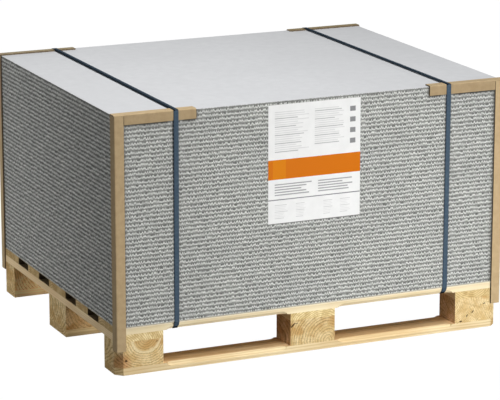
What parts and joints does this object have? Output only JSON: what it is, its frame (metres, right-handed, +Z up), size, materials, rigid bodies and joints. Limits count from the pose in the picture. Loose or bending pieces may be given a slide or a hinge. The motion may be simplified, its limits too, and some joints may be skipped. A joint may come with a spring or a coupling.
{
  "type": "palletised cement boards",
  "caption": "Strapped stack of cement boards with corner and edge guards on a wooden block pallet.",
  "frame": {"origin": "on the floor, below the middle of the load", "axes": "+X along the boards' length, to the right of the labelled face; +Y from the labelled front face to the rear; +Z up"},
  "size_m": [1.258, 1.01, 0.774],
  "materials": {
    "cement_board": "matt, sanded faces and rough cut edges",
    "deck_wood": "sawn softwood",
    "block_wood": "sawn softwood, end grain to the front",
    "guard_board": "matt solid fibreboard",
    "strap_band": "embossed polyester band",
    "label_paper": "white paper with a plain orange band"
  },
  "bodies": {
    "root": {"cement_boards": "cement_board", "deck_board_front": "deck_wood", "deck_board_inner_front": "deck_wood", "deck_board_middle": "deck_wood", "deck_board_inner_rear": "deck_wood", "deck_board_rear": "deck_wood", "stringer_left": "deck_wood", "stringer_middle": "deck_wood", "stringer_right": "deck_wood", "block_front_left": "block_wood", "block_front_middle": "block_wood", "block_front_right": "block_wood", "block_middle_left": "block_wood", "block_centre": "block_wood", "block_middle_right": "block_wood", "block_rear_left": "block_wood", "block_rear_middle": "block_wood", "block_rear_right": "block_wood", "bottom_board_front": "deck_wood", "bottom_board_middle": "deck_wood", "bottom_board_rear": "deck_wood", "corner_guard_front_left": "guard_board", "corner_guard_front_right": "guard_board", "corner_guard_rear_left": "guard_board", "corner_guard_rear_right": "guard_board", "edge_guard_front_left": "guard_board", "edge_guard_front_right": "guard_board", "edge_guard_rear_left": "guard_board", "edge_guard_rear_right": "guard_board", "strap_left": "strap_band", "strap_right": "strap_band", "label": "label_paper"}
  },
  "joints": []
}
